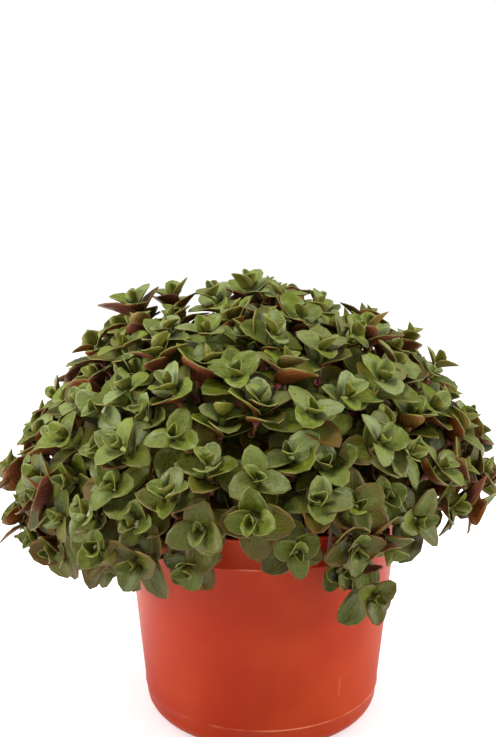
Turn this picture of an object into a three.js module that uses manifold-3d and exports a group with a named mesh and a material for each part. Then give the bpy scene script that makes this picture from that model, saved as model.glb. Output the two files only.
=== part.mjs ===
// A turtle vine (Callisia repens) grown to a full mound in a 6 inch nursery pot.
// Millimetres, +Z up. The origin is the centre of the pot's flat base, and -Y is the front.
//
// The plant is a set of branched leafy stems. Each one stands in a hole in the soil, arches
// up and outward without crossing its neighbours, and ends in one or two leafy shoots. The
// shoots share out the mound's surface, and every leaf stays on its own shoot's side of the
// planes halfway to the neighbouring shoots: it lies as flat as that leaves room for.
import * as THREE from "three";
import { mergeVertices } from "three/addons/utils/BufferGeometryUtils.js";
import Module from "manifold-3d";

// Pot.
const POT_HEIGHT = 118;
const POT_TOP_RADIUS = 75;
const POT_TAPER = 0.1; // radius gained per mm of height
const POT_WALL = 1.6;
const POT_FLOOR = 3;
const BASE_ROUNDING = 9;
const INNER_CORNER = 2; // from the flat base's edge out to the floor's edge inside
const RIM_LINE_Z = 102;
const BASE_LINE_Z = 14;
const LINE_PROUD = 0.4;
const LIP_RADIUS = 0.8;
const POT_SIDES = 36;
const DRAIN_HOLES = 6;
const DRAIN_HOLE_RADIUS = 4;
const DRAIN_CIRCLE_RADIUS = 38;

// Soil.
const SOIL_EDGE_Z = 103;
const SOIL_CENTRE_Z = 106;
const SOIL_GAP = 0.4;
const SOIL_SIDES = 26;
const HOLE_DEPTH = 7;
const HOLE_RADIUS = 3.5;
const HOLE_SIDES = 4;
const STEM_ROOM = 58; // outermost stem's distance from the axis at the soil

// Mound of foliage, as the surface that the shoot tips lie on.
const MOUND_CENTRE_X = -5; // the mound has grown over to the left
const MOUND_WIDEST_Z = 132;
const MOUND_RADIUS = 122;
const MOUND_RISE = 96;
const MOUND_FULLNESS = 1.75; // 2 makes the dome an ellipse, less gives it sloping shoulders
const MOUND_DROP = 20; // mean drop of the skirt below the widest level
const MOUND_DROP_LEFT = 10; // the left side hangs this much lower, the right side higher
const MOUND_DROP_BACK = 8; // the back hangs this much lower, the front higher
const MOUND_LOWEST_COSINE = -0.24; // how far past the widest level the shoots go on
const MOUND_SHOOTS = 65;
const CROWDING_AT_TOP = 0.2;
const GOLDEN_ANGLE = Math.PI * (3 - Math.sqrt(5));
const TURN_UPWARD = 0.24; // how far shoots turn up from the surface's own direction
const TRAILING_TURN_UPWARD = 0.12; // the trailing shoots turn out of their fall to the light
const AZIMUTH_JITTER = 0.05;
const TIP_JITTER = 4;
const LEAN_JITTER = 0.16;

// Shoots that trail over the rim: azimuth in degrees, radius and height of the tip.
const TRAILING_SHOOTS = [
  [-58, 98, 92],
  [-135, 104, 106],
  [-112, 97, 112],
  [-158, 104, 101],
];

// Stems.
const STEM_RADIUS = 1.3;
const BRANCH_RADIUS = 1.2;
const STEM_SIDES = 3;
const STEM_STEPS = 6;
const BRANCH_STEPS = 4;
const STEM_CROWN_Z = 166; // height that every stem aims for as it leaves the soil
const FOOT_SPREADING = 0.55; // power that spreads the feet over the soil
const TIP_STRAIGHT = 12;
const TRAIL_ARCH_Z = 136; // lowest that a trailing stem's arch passes over the rim
const TRAIL_ARCH_RISE = 45;
const TRAIL_ARCH_OUTWARD = 1.06;
const FORK_SHARE = 0.5;
const FORK_REACH_SHARE = 0.3;
const FORK_REACH = 46; // farthest that two shoots of one stem stand apart

// A shoot ends in two whorls of three leaves, the young one over the old one and between its
// leaves. Each is a short core whose sides carry the leaves. A leaf's edge is given as shares
// of its length and of its half width.
const CORE_SIDES = 3;
const CORE_HEIGHT = 1.6;
const OLD_WHORL = {
  depth: 10,
  coreRadius: 2.8,
  length: 18.5,
  elevation: 4,
  edge: [[0.3, -1], [0.68, -0.78], [1, 0], [0.68, 0.78], [0.3, 1]],
};
const YOUNG_WHORL = {
  depth: 3,
  coreRadius: 2.2,
  length: 14,
  elevation: 26,
  edge: [[0.42, -1], [1, 0], [0.42, 1]],
  stalkDepth: OLD_WHORL.depth + 0.5 * CORE_HEIGHT,
};
const LEAF_MIDDLE = [0.5, 0];
const LEAF_CUP = 0.3;
const LEAF_WIDTH = 0.72; // of the length
const LEAF_THICKNESS = 0.8;
const LEAF_DROOP = 0.16;
const LEAF_SIZES = [0.94, 1.06];
const SHOOT_SIZES = [0.92, 1.08];
const LEAF_LIFTS = [-4, 8]; // degrees
const ELEVATION_STEP = 5;
const STEEPEST_LEAF = 55;
const SHORTER_LEAF = 0.86;
const SHORTEST_LEAF = 0.45;
const NEIGHBOUR_REACH = 70; // shoots farther apart than this can't touch
const HALF_GAP = 0.25; // to the plane halfway to a neighbouring shoot
const POT_CLEARANCE = 2.5;

const DRAW_SEED = 20177;

const wasm = await Module();
wasm.setup();

// Random draws from a linear congruential sequence, the same on every machine.
class Draws {
  constructor(seed) {
    this.state = seed;
  }
  between(low, high) {
    this.state = (this.state * 1664525 + 1013904223) % 4294967296;
    return low + ((high - low) * this.state) / 4294967296;
  }
}

function solidFromGeometry(geometry) {
  const bare = new THREE.BufferGeometry();
  const source = geometry.index ? geometry.toNonIndexed() : geometry;
  bare.setAttribute("position", source.getAttribute("position"));
  const merged = mergeVertices(bare, 1e-4);
  return new wasm.Manifold(
    new wasm.Mesh({
      numProp: 3,
      vertProperties: new Float32Array(merged.attributes.position.array),
      triVerts: new Uint32Array(merged.index.array),
    }),
  );
}

function geometryFromSolid(solid) {
  const mesh = solid.getMesh();
  const geometry = new THREE.BufferGeometry();
  geometry.setAttribute("position", new THREE.BufferAttribute(mesh.vertProperties, 3));
  geometry.setIndex(new THREE.BufferAttribute(mesh.triVerts, 1));
  geometry.computeVertexNormals();
  return geometry;
}

function potRadiusAt(z) {
  return POT_TOP_RADIUS - POT_TAPER * (POT_HEIGHT - z);
}

// A moulded line: three outline points that stand proud of the wall at height z.
function lineOnWall(z) {
  return [
    [potRadiusAt(z - 0.8), z - 0.8],
    [potRadiusAt(z) + LINE_PROUD, z],
    [potRadiusAt(z + 0.8), z + 0.8],
  ];
}

function potSolid() {
  const outline = [[0, 0]];
  const cornerRadius = potRadiusAt(BASE_ROUNDING) - BASE_ROUNDING;
  for (const angle of [0, 30, 60, 90]) {
    const turn = THREE.MathUtils.degToRad(angle);
    outline.push([
      cornerRadius + BASE_ROUNDING * Math.sin(turn),
      BASE_ROUNDING * (1 - Math.cos(turn)),
    ]);
  }
  outline.push(...lineOnWall(BASE_LINE_Z), ...lineOnWall(RIM_LINE_Z));
  outline.push([potRadiusAt(POT_HEIGHT - 2 * LIP_RADIUS), POT_HEIGHT - 2 * LIP_RADIUS]);
  outline.push([POT_TOP_RADIUS + LIP_RADIUS, POT_HEIGHT - LIP_RADIUS]);
  outline.push([POT_TOP_RADIUS, POT_HEIGHT]);
  outline.push([POT_TOP_RADIUS - POT_WALL, POT_HEIGHT]);
  outline.push([potRadiusAt(BASE_ROUNDING) - POT_WALL, BASE_ROUNDING]);
  outline.push([cornerRadius + INNER_CORNER, POT_FLOOR]);
  outline.push([0, POT_FLOOR]);
  const lathe = new THREE.LatheGeometry(
    outline.map(([radius, z]) => new THREE.Vector2(radius, z)),
    POT_SIDES,
  );
  lathe.rotateX(Math.PI / 2);
  let pot = solidFromGeometry(lathe);
  for (let i = 0; i < DRAIN_HOLES; i++) {
    const hole = new THREE.CylinderGeometry(DRAIN_HOLE_RADIUS, DRAIN_HOLE_RADIUS, 4 * POT_FLOOR, 8);
    hole.rotateX(Math.PI / 2);
    const turn = (2 * Math.PI * i) / DRAIN_HOLES;
    hole.translate(DRAIN_CIRCLE_RADIUS * Math.cos(turn), DRAIN_CIRCLE_RADIUS * Math.sin(turn), 0);
    pot = pot.subtract(solidFromGeometry(hole));
  }
  return pot;
}

function soilSolid(feet) {
  const innerRadius = (z) => potRadiusAt(z) - POT_WALL - SOIL_GAP;
  const bottom = POT_FLOOR + SOIL_GAP;
  const corner = potRadiusAt(BASE_ROUNDING) - BASE_ROUNDING + 0.5 * INNER_CORNER;
  const outline = [
    [0, bottom],
    [corner, bottom],
    [innerRadius(BASE_ROUNDING) - SOIL_GAP, BASE_ROUNDING + SOIL_GAP],
    [innerRadius(SOIL_EDGE_Z) - SOIL_GAP, SOIL_EDGE_Z],
    [0.6 * innerRadius(SOIL_EDGE_Z), 0.75 * SOIL_CENTRE_Z + 0.25 * SOIL_EDGE_Z],
    [0, SOIL_CENTRE_Z],
  ];
  const lathe = new THREE.LatheGeometry(
    outline.map(([radius, z]) => new THREE.Vector2(radius, z)),
    SOIL_SIDES,
  );
  lathe.rotateX(Math.PI / 2);
  let soil = solidFromGeometry(lathe);
  for (const foot of feet) {
    const hole = new THREE.CylinderGeometry(HOLE_RADIUS, HOLE_RADIUS, 2 * HOLE_DEPTH, HOLE_SIDES);
    hole.rotateX(Math.PI / 2);
    hole.translate(foot.x, foot.y, foot.z + HOLE_DEPTH - 1);
    soil = soil.subtract(solidFromGeometry(hole));
  }
  return soil;
}

// The tip and the direction of one shoot on the mound's surface.
function moundShoot(index, draws) {
  const share = (index + 0.5) / MOUND_SHOOTS;
  const spread = share * (1 - CROWDING_AT_TOP * (1 - share));
  const cosine = 1 - (1 - MOUND_LOWEST_COSINE) * spread;
  const sine = Math.sqrt(1 - cosine * cosine);
  const azimuth = index * GOLDEN_ANGLE + draws.between(-AZIMUTH_JITTER, AZIMUTH_JITTER) / Math.max(sine, 0.3);
  const skirt = MOUND_DROP - MOUND_DROP_LEFT * Math.cos(azimuth) + MOUND_DROP_BACK * Math.sin(azimuth);
  const height = cosine > 0 ? MOUND_RISE : -skirt / MOUND_LOWEST_COSINE;
  const dome = Math.pow(1 - Math.pow(sine, MOUND_FULLNESS), 1 / MOUND_FULLNESS);
  const z = MOUND_WIDEST_Z + height * (cosine > 0 ? dome : cosine);
  const out = new THREE.Vector3(Math.cos(azimuth), Math.sin(azimuth), 0);
  const tip = new THREE.Vector3(MOUND_CENTRE_X, 0, z);
  tip.addScaledVector(out, MOUND_RADIUS * sine);
  const axis = new THREE.Vector3(0, 0, (cosine * MOUND_RADIUS) / height)
    .addScaledVector(out, sine)
    .normalize();
  axis.z += TURN_UPWARD;
  axis.x += draws.between(-LEAN_JITTER, LEAN_JITTER);
  axis.y += draws.between(-LEAN_JITTER, LEAN_JITTER);
  axis.normalize();
  tip.addScaledVector(axis, draws.between(-TIP_JITTER, TIP_JITTER));
  return { tip, axis, spread, azimuth };
}

function trailingShoot([degrees, radius, z]) {
  const azimuth = THREE.MathUtils.degToRad(degrees);
  const tip = new THREE.Vector3(radius * Math.cos(azimuth), radius * Math.sin(azimuth), z);
  const axis = new THREE.Vector3(Math.cos(azimuth), Math.sin(azimuth), TRAILING_TURN_UPWARD).normalize();
  return { tip, axis, spread: 1, azimuth, trails: true };
}

// Joins each shoot to its nearest free neighbour, so that a stem has one or two shoots.
function pairShoots(shoots) {
  const free = new Set(shoots.keys());
  const stems = [];
  for (const index of shoots.keys()) {
    if (!free.delete(index)) continue;
    let partner = -1;
    let nearest = FORK_REACH;
    for (const other of free) {
      const distance = shoots[index].tip.distanceTo(shoots[other].tip);
      if (distance < nearest) {
        nearest = distance;
        partner = other;
      }
    }
    free.delete(partner);
    stems.push(partner < 0 ? [shoots[index]] : [shoots[index], shoots[partner]]);
  }
  return stems;
}

// Two directions square to a shoot's axis, from which its leaves' turns are measured.
function shootSides(shoot) {
  const side = new THREE.Vector3(-Math.sin(shoot.azimuth), Math.cos(shoot.azimuth), 0);
  side.addScaledVector(shoot.axis, -side.dot(shoot.axis)).normalize();
  return { side, front: new THREE.Vector3().crossVectors(shoot.axis, side) };
}

// The direction square to the shoot's axis at a turn round it.
function outwardAt(shoot, turn) {
  const { side, front } = shootSides(shoot);
  return side.multiplyScalar(Math.cos(turn)).addScaledVector(front, Math.sin(turn));
}

// The three local directions of a leaf: along it, across it, and out of its upper face.
function leafFrame(shoot, turn, elevation) {
  const outward = outwardAt(shoot, turn);
  const rise = THREE.MathUtils.degToRad(elevation);
  const along = outward.clone().multiplyScalar(Math.cos(rise)).addScaledVector(shoot.axis, Math.sin(rise));
  const upper = shoot.axis.clone().multiplyScalar(Math.cos(rise)).addScaledVector(outward, -Math.sin(rise));
  return { along, across: new THREE.Vector3().crossVectors(upper, along), upper };
}

function leafPoint(leaf, [lengthShare, widthShare], below) {
  const halfWidth = (LEAF_WIDTH * leaf.length) / 2;
  const cupped = LEAF_CUP * halfWidth * widthShare * widthShare;
  const drooped = LEAF_DROOP * leaf.length * lengthShare * lengthShare;
  return leaf.base
    .clone()
    .addScaledVector(leaf.frame.along, leaf.length * lengthShare)
    .addScaledVector(leaf.frame.across, halfWidth * widthShare)
    .addScaledVector(leaf.frame.upper, cupped - drooped - below);
}

function leafHasRoom(leaf, walls) {
  for (const place of leaf.edge) {
    for (const below of [0, LEAF_THICKNESS]) {
      const point = leafPoint(leaf, place, below);
      if (walls.some((wall) => point.dot(wall.normal) > wall.offset)) return false;
      const nearPot = point.z < POT_HEIGHT + POT_CLEARANCE;
      if (nearPot && Math.hypot(point.x, point.y) < POT_TOP_RADIUS + POT_CLEARANCE) return false;
    }
  }
  return true;
}

// The planes halfway to the shoots around, which this shoot's leaves stay behind.
function wallsAround(shoot, shoots) {
  const walls = [];
  for (const other of shoots) {
    if (other === shoot || other.tip.distanceTo(shoot.tip) > NEIGHBOUR_REACH) continue;
    const normal = other.tip.clone().sub(shoot.tip).normalize();
    const middle = other.tip.clone().add(shoot.tip).multiplyScalar(0.5);
    walls.push({ normal, offset: middle.dot(normal) - HALF_GAP });
  }
  return walls;
}

// The two planes through a shoot's axis that keep a leaf apart from the others of its whorl.
function wallsBeside(shoot, turn) {
  return [-1, 1].map((sense) => {
    const normal = outwardAt(shoot, turn + sense * (Math.PI / CORE_SIDES + Math.PI / 2));
    return { normal, offset: shoot.tip.dot(normal) - HALF_GAP };
  });
}

// Lifts a leaf, and shortens it where that isn't enough, until it has room.
function fitLeaf(shoot, leaf, walls) {
  const shortest = SHORTEST_LEAF * leaf.length;
  const lowest = leaf.elevation;
  leaf.frame = leafFrame(shoot, leaf.turn, lowest);
  while (!leafHasRoom(leaf, walls) && leaf.length > shortest) {
    leaf.elevation += ELEVATION_STEP;
    if (leaf.elevation > STEEPEST_LEAF) {
      leaf.elevation = lowest;
      leaf.length *= SHORTER_LEAF;
    }
    leaf.frame = leafFrame(shoot, leaf.turn, leaf.elevation);
  }
  return leaf;
}

// The leaves of one whorl, one for each side of its core.
function whorlLeaves(shoot, whorl, start, size, walls, draws) {
  return Array.from({ length: CORE_SIDES }, (_, side) => {
    const turn = start + (2 * Math.PI * (side + 0.5)) / CORE_SIDES;
    const leaf = {
      turn,
      base: shoot.tip
        .clone()
        .addScaledVector(shoot.axis, -whorl.depth)
        .addScaledVector(outwardAt(shoot, turn), 0.5 * whorl.coreRadius),
      length: whorl.length * size * draws.between(...LEAF_SIZES),
      elevation: whorl.elevation + draws.between(...LEAF_LIFTS),
      edge: whorl.edge,
    };
    return fitLeaf(shoot, leaf, [...walls, ...wallsBeside(shoot, turn)]);
  });
}

// One whorl as a closed body: its core, a leaf on each side, and the young one's stalk.
function whorlSolid(shoot, whorl, start, leaves) {
  const points = [];
  const index = [];
  const add = (point) => points.push(point) - 1;
  const ring = (depth, radius) =>
    Array.from({ length: CORE_SIDES }, (_, i) =>
      add(
        shoot.tip
          .clone()
          .addScaledVector(shoot.axis, -depth)
          .addScaledVector(outwardAt(shoot, start + (2 * Math.PI * i) / CORE_SIDES), radius),
      ),
    );
  const upper = ring(whorl.depth, whorl.coreRadius);
  const lower = ring(whorl.depth + CORE_HEIGHT, whorl.coreRadius);
  const last = whorl.stalkDepth ? ring(whorl.stalkDepth, STEM_RADIUS) : lower;
  index.push(upper[0], upper[1], upper[2], last[0], last[2], last[1]);
  leaves.forEach((leaf, side) => {
    const next = (side + 1) % CORE_SIDES;
    const rim = (below) => leaf.edge.map((place) => add(leafPoint(leaf, place, below)));
    const over = [upper[side], ...rim(0), upper[next]];
    const under = [lower[side], ...rim(LEAF_THICKNESS), lower[next]];
    const overMiddle = add(leafPoint(leaf, LEAF_MIDDLE, 0));
    const underMiddle = add(leafPoint(leaf, LEAF_MIDDLE, LEAF_THICKNESS));
    for (let k = 0; k < over.length; k++) {
      const after = (k + 1) % over.length;
      index.push(over[k], over[after], overMiddle, under[after], under[k], underMiddle);
      if (after) index.push(over[after], over[k], under[k], over[after], under[k], under[after]);
    }
    if (whorl.stalkDepth) {
      index.push(last[side], last[next], lower[next], last[side], lower[next], lower[side]);
    }
  });
  const geometry = new THREE.BufferGeometry().setFromPoints(points);
  geometry.setIndex(index);
  return solidFromGeometry(geometry);
}

function shootSolids(shoot, shoots, draws) {
  const walls = wallsAround(shoot, shoots);
  const size = draws.between(...SHOOT_SIZES);
  const turn = draws.between(0, 2 * Math.PI);
  return [OLD_WHORL, YOUNG_WHORL].map((whorl, order) => {
    const start = turn + (order * Math.PI) / CORE_SIDES;
    return whorlSolid(shoot, whorl, start, whorlLeaves(shoot, whorl, start, size, walls, draws));
  });
}

function tubeSolid(points, radius, steps) {
  const section = new THREE.Shape();
  for (let i = 0; i < STEM_SIDES; i++) {
    const turn = (2 * Math.PI * i) / STEM_SIDES;
    section[i ? "lineTo" : "moveTo"](radius * Math.cos(turn), radius * Math.sin(turn));
  }
  const path = new THREE.CatmullRomCurve3(points);
  const tube = new THREE.ExtrudeGeometry(section, { steps, extrudePath: path, curveSegments: 1 });
  return solidFromGeometry(tube);
}

// Points along an arching stem: from its start, by way of a height, into the shoot's core.
function archPoints(start, rising, shoot) {
  const end = shoot.tip.clone().addScaledVector(shoot.axis, -OLD_WHORL.depth - 0.6 * CORE_HEIGHT);
  const neck = end.clone().addScaledVector(shoot.axis, -0.5 * TIP_STRAIGHT);
  const bend = neck.clone().addScaledVector(shoot.axis, -TIP_STRAIGHT);
  if (shoot.trails) {
    bend.copy(neck).multiplyScalar(TRAIL_ARCH_OUTWARD).setZ(Math.max(neck.z + TRAIL_ARCH_RISE, TRAIL_ARCH_Z));
  }
  const arch = new THREE.CubicBezierCurve3(start, rising, bend, neck);
  return [...arch.getPoints(6), end];
}

function stemFoot(shoot) {
  const radius = STEM_ROOM * Math.pow(shoot.spread, FOOT_SPREADING);
  return new THREE.Vector3(
    radius * Math.cos(shoot.azimuth),
    radius * Math.sin(shoot.azimuth),
    SOIL_EDGE_Z - HOLE_DEPTH + 2,
  );
}

function leafyStem([leader, branch], shoots, draws) {
  const foot = stemFoot(leader);
  const rising = foot.clone().setZ(STEM_CROWN_Z);
  const points = archPoints(foot, rising, leader);
  const pieces = [tubeSolid(points, STEM_RADIUS, STEM_STEPS)];
  if (branch) {
    const path = new THREE.CatmullRomCurve3(points);
    const fork = path.getPointAt(FORK_SHARE);
    const reach = FORK_REACH_SHARE * fork.distanceTo(branch.tip);
    const onward = fork.clone().addScaledVector(path.getTangentAt(FORK_SHARE), reach);
    pieces.push(tubeSolid(archPoints(fork, onward, branch), BRANCH_RADIUS, BRANCH_STEPS));
  }
  for (const shoot of branch ? [leader, branch] : [leader]) {
    pieces.push(...shootSolids(shoot, shoots, draws));
  }
  return { foot, solid: wasm.Manifold.union(pieces) };
}

function material(color, roughness) {
  return new THREE.MeshStandardMaterial({ color, roughness, metalness: 0 });
}

const POT_PLASTIC = material(0xb9472b, 0.42);
const POTTING_SOIL = material(0x2e211a, 0.95);
const FOLIAGE = material(0x6f8a4d, 0.5);

const model = new THREE.Group();

function addPart(name, solid, look) {
  const mesh = new THREE.Mesh(geometryFromSolid(solid), look);
  mesh.name = name;
  model.add(mesh);
}

const draws = new Draws(DRAW_SEED);
const shoots = TRAILING_SHOOTS.map(trailingShoot);
for (let i = 0; i < MOUND_SHOOTS; i++) shoots.push(moundShoot(i, draws));

const stems = pairShoots(shoots).map((pair) => leafyStem(pair, shoots, draws));
addPart("pot", potSolid(), POT_PLASTIC);
addPart("soil", soilSolid(stems.map((stem) => stem.foot)), POTTING_SOIL);
stems.forEach((stem, i) => addPart("leafy_stem_" + String(i + 1).padStart(2, "0"), stem.solid, FOLIAGE));

export default model;
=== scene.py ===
"""Looks of a potted turtle vine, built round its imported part.

Metres, +Z up. The origin is the centre of the pot's flat base and -Y is the front.

The vine repeats the part's rule: the same shoots stand at the same places, and each leaf has
the turn, lift and length that its part has. On that frame come fine leaves, the young ones
that clasp each tip, older pairs farther down, and side shoots that fill the mound.
"""
import logging
import math
from dataclasses import dataclass, field
from enum import Enum
from typing import Callable

import bpy
import numpy as np
from mathutils import Matrix, Vector


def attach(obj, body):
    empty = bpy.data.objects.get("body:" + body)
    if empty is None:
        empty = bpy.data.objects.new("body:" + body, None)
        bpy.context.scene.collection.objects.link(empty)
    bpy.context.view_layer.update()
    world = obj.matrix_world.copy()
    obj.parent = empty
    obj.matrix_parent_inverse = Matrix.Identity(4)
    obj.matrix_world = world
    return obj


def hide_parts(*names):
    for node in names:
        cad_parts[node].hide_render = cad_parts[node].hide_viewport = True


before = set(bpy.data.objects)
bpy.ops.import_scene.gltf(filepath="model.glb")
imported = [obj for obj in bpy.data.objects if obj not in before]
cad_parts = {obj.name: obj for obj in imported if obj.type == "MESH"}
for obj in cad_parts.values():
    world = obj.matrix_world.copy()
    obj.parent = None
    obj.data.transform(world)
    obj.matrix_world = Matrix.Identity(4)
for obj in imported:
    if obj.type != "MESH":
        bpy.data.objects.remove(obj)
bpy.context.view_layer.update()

ROOT_BODY = "root"
IMAGE_WIDTH = 496
IMAGE_HEIGHT = 737
FULL_TURN = 2 * math.pi
RIGHT_ANGLE = math.pi / 2
GOLDEN_ANGLE = math.pi * (3 - math.sqrt(5))
DRAW_FACTOR = 1664525
DRAW_STEP = 1013904223
DRAW_PERIOD = 4294967296
SAME_PLACE = 1e-5
HAIR = 1e-6
POT_LINES = (0.014, 0.102)
LEAF_MAP = "leaf_map"
LEAF_VEINS = 8
AGE = "age"
CHANCE = "chance"

Array = np.ndarray
Grain = tuple[float, float, float]
Material = bpy.types.Material
Piece = bpy.types.Object
Place = tuple[float, float, float]
Span = tuple[float, float]
Walls = list[tuple[np.ndarray, float]]

log = logging.getLogger("turtle_vine")


def tint(code: str) -> tuple[float, ...]:
    """A screen colour's code, such as "#6f8a4d", as linear red, green and blue and an alpha of 1."""
    shares = [int(code[i : i + 2], 16) / 255 for i in (1, 3, 5)]
    return (*(s / 12.92 if s <= 0.04045 else ((s + 0.055) / 1.055) ** 2.4 for s in shares), 1.0)


def point(x: float, y: float, z: float) -> Array:
    """A point or a direction."""
    return np.array([x, y, z], float)


def unit(vector: Array) -> Array:
    """The vector at a length of one."""
    return vector / np.linalg.norm(vector)


def level(azimuth: float) -> Array:
    """The level direction at a turn round the pot's axis."""
    return point(math.cos(azimuth), math.sin(azimuth), 0.0)


def apart(first: Array, second: Array) -> float:
    """How far two points are apart."""
    return float(np.linalg.norm(first - second))


def placing(across: Array, along: Array, up: Array, place: Array) -> Matrix:
    """The matrix that turns a model's X, Y and Z to three directions and moves it to a place."""
    return Matrix([*np.column_stack([across, along, up, place]).tolist(), [0, 0, 0, 1]])


def mode(name: str) -> None:
    """Takes the active object into a mode."""
    bpy.ops.object.mode_set(mode=name)


def linked(name: str, data: bpy.types.ID) -> Piece:
    """Puts a new object into the scene.

    Args:
        name: its name.
        data: its mesh, light or camera.

    Returns:
        The object.
    """
    piece = bpy.data.objects.new(name, data)
    bpy.context.scene.collection.objects.link(piece)
    return piece


def take_hold(*pieces: Piece) -> None:
    """Selects these objects only, and makes the first one active.

    Args:
        pieces: the objects; with none, nothing stays selected, the part's nodes included.
    """
    bpy.ops.object.select_all(action="DESELECT")
    for piece in pieces:
        piece.select_set(True)
    if pieces:
        bpy.context.view_layer.objects.active = pieces[0]


def configure(thing: bpy.types.bpy_struct, **settings: object) -> bpy.types.bpy_struct:
    """Sets properties.

    Args:
        thing: a node, modifier, lamp or the like.
        settings: its properties.

    Returns:
        The same thing.
    """
    for name, value in settings.items():
        setattr(thing, name, value)
    return thing


def modify(piece: Piece, kind: str, **settings: object) -> None:
    """Gives an object a modifier with its settings and applies it."""
    take_hold(piece)
    bpy.ops.object.modifier_apply(modifier=configure(piece.modifiers.new("shaping", kind), **settings).name)


def select_vertices(piece: Piece, wanted: Callable[[bpy.types.MeshVertex], bool]) -> None:
    """Selects the shown vertices that pass a test, and stays in edit mode.

    Args:
        piece: the object.
        wanted: the test.
    """
    mode("EDIT")
    bpy.ops.mesh.select_mode(type="VERT")
    bpy.ops.mesh.select_all(action="DESELECT")
    mode("OBJECT")
    for vertex in piece.data.vertices:
        vertex.select = not vertex.hide and wanted(vertex)
    mode("EDIT")


def join(pieces: list[Piece], name: str) -> Piece:
    """Joins several objects into one.

    Args:
        pieces: the objects, of which the first one keeps its materials first.
        name: the name of the joined object.

    Returns:
        The joined object.
    """
    take_hold(*pieces)
    bpy.ops.object.join()
    joined = bpy.context.object
    joined.name = joined.data.name = name
    return joined


def turned(section: list[Span], sides: int) -> Piece:
    """Draws a section round the axis, ring by ring.

    Args:
        section: radius and height of each ring, from the middle of one cap to that of the other.
        sides: how many sides a ring has.

    Returns:
        The closed form.
    """
    radius, height = section[0]
    take_hold()
    bpy.ops.mesh.primitive_circle_add(
        vertices=sides, radius=radius, fill_type="NGON", location=(0, 0, height)
    )
    form = bpy.context.object
    bpy.ops.object.transform_apply(location=True, rotation=True, scale=True)
    mode("EDIT")
    bpy.ops.mesh.select_mode(type="EDGE")
    bpy.ops.mesh.select_all(action="SELECT")
    bpy.ops.mesh.region_to_loop()
    for next_radius, next_height in section[1:]:
        bpy.ops.mesh.extrude_edges_move(TRANSFORM_OT_translate={"value": (0, 0, next_height - height)})
        share = next_radius / radius
        bpy.ops.transform.resize(value=(share, share, 1), center_override=(0, 0, next_height))
        radius, height = next_radius, next_height
    bpy.ops.mesh.edge_face_add()
    bpy.ops.mesh.select_all(action="SELECT")
    bpy.ops.mesh.normals_make_consistent(inside=False)
    mode("OBJECT")
    return form


def dress(piece: Piece, name: str, finish: Material, crease: float) -> None:
    """Names a piece, gives it its finish and smooths it.

    Args:
        piece: the modelled piece.
        name: its name.
        finish: its material.
        crease: the angle in degrees from which an edge stays sharp.
    """
    piece.name = piece.data.name = name
    piece.data.materials.append(finish)
    take_hold(piece)
    bpy.ops.object.shade_smooth_by_angle(angle=math.radians(crease))


def settle(piece: Piece, slot: str, *nodes: str) -> None:
    """Seats a finished piece on the root body.

    Args:
        piece: the finished piece.
        slot: not used.
        nodes: the part's nodes that it stands for.
    """
    take_hold()
    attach(piece, ROOT_BODY)
    if nodes:
        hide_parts(*nodes)
    triangles = sum(len(face.vertices) - 2 for face in piece.data.polygons)
    log.info("%s: %d triangles", piece.name, triangles)


@dataclass
class Draws:
    """Random draws from a linear congruential sequence, as the part makes them."""

    state: int

    def between(self, low: float, high: float) -> float:
        """The next draw, from the low value up to the high one."""
        self.state = (self.state * DRAW_FACTOR + DRAW_STEP) % DRAW_PERIOD
        return low + (high - low) * self.state / DRAW_PERIOD

    def about(self, reach: float) -> float:
        """The next draw, as far to either side of 0 as the reach."""
        return self.between(-reach, reach)


@dataclass(frozen=True)
class Wire:
    """A value inside a material: a node's output that takes part in sums as a number does."""

    look: "Shading"
    socket: bpy.types.NodeSocket

    def __add__(self, other: "Wire | float") -> "Wire":
        """The sum with another value."""
        return self.look.calc("ADD", self, other)

    def __sub__(self, other: "Wire | float") -> "Wire":
        """The difference from another value."""
        return self.look.calc("SUBTRACT", self, other)

    def __mul__(self, other: "Wire | float") -> "Wire":
        """The product with another value."""
        return self.look.calc("MULTIPLY", self, other)

    def __abs__(self) -> "Wire":
        """The value without its sign."""
        return self.look.calc("ABSOLUTE", self)

    def most(self, other: "Wire") -> "Wire":
        """The larger of two values."""
        return self.look.calc("MAXIMUM", self, other)

    def rest(self) -> "Wire":
        """What the value leaves of 1."""
        return self.look.calc("SUBTRACT", 1.0, self)

    def ease(self, low: float, high: float) -> "Wire":
        """A smooth step: 0 up to a low level of the value, and 1 from a high level on."""
        inputs = {"Value": self, "From Min": low, "From Max": high}
        return self.look.node("ShaderNodeMapRange", "Result", inputs, interpolation_type="SMOOTHSTEP")


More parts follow.
